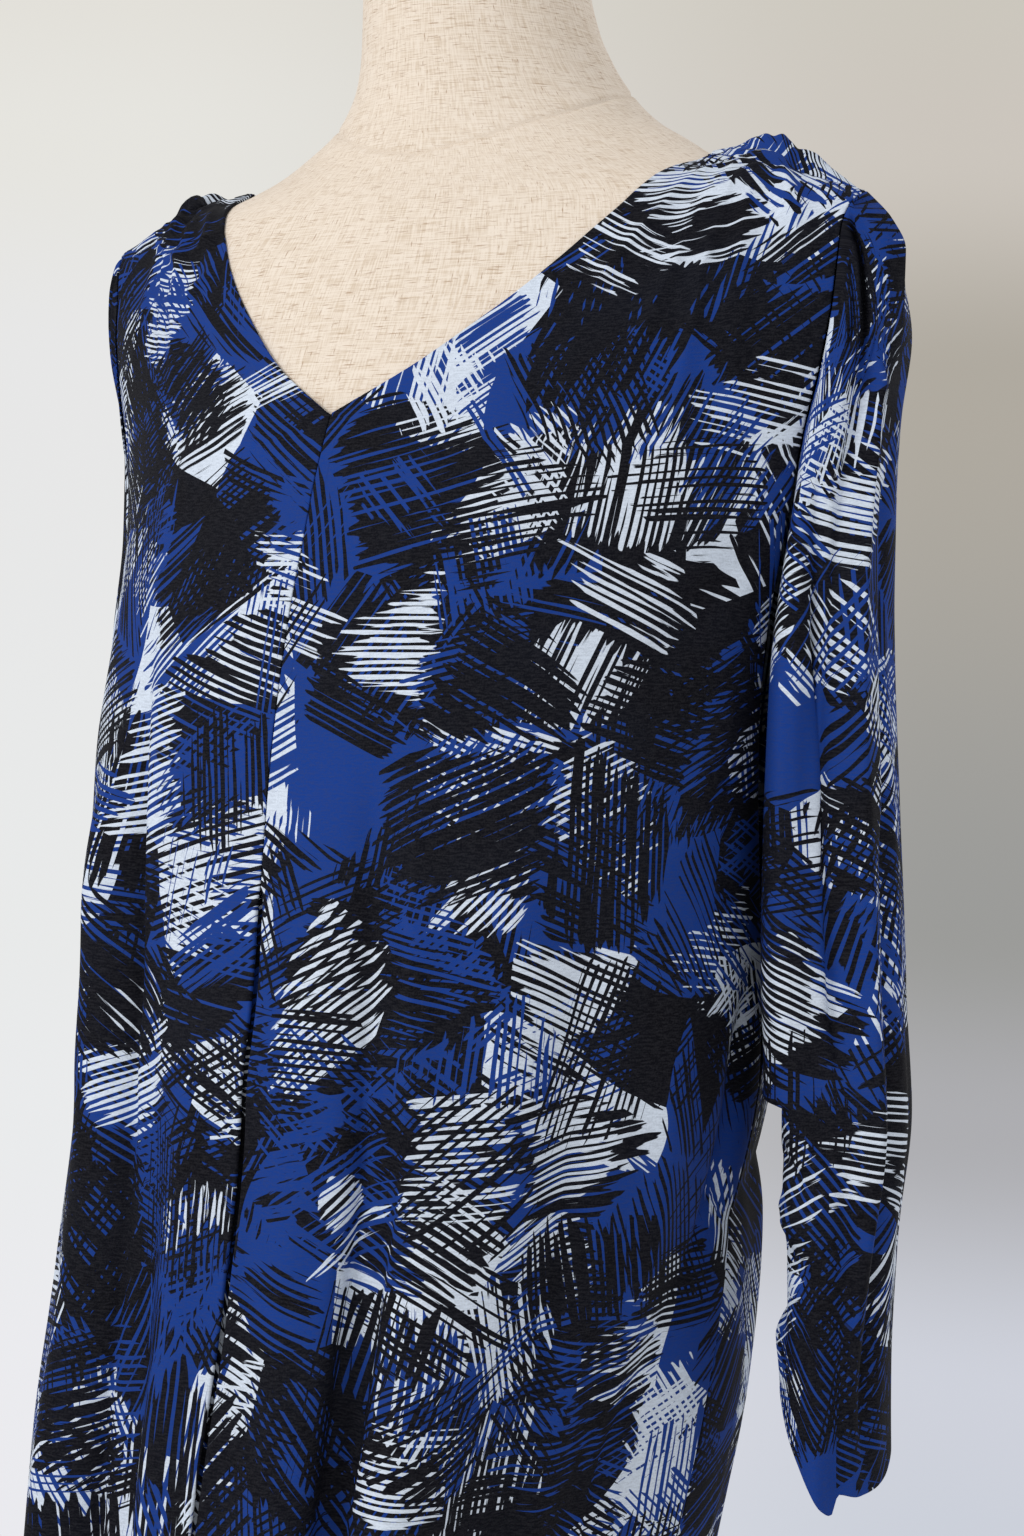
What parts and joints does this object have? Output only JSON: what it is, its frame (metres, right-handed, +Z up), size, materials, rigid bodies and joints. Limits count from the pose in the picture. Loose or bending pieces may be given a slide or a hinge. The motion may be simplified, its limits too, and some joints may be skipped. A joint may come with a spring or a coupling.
{
  "type": "blouse on a dress form",
  "caption": "Loose long-sleeved blouse with a V neck, gathered shoulders and a front pleat, hanging on a limbless dress form with a round base.",
  "frame": {"origin": "centre of the base's underside, on the floor", "axes": "+Z up, -Y towards the garment's front, +X towards the wearer's left"},
  "size_m": [0.4785, 0.3307, 0.926],
  "materials": {
    "print_cloth": "matte",
    "linen": "matte",
    "steel": "satin"
  },
  "bodies": {
    "root": {"front_left": "print_cloth", "front_right": "print_cloth", "back": "print_cloth", "sleeve_left": "print_cloth", "sleeve_right": "print_cloth", "form_torso": "linen", "form_pole": "steel", "form_base": "steel"}
  },
  "joints": []
}
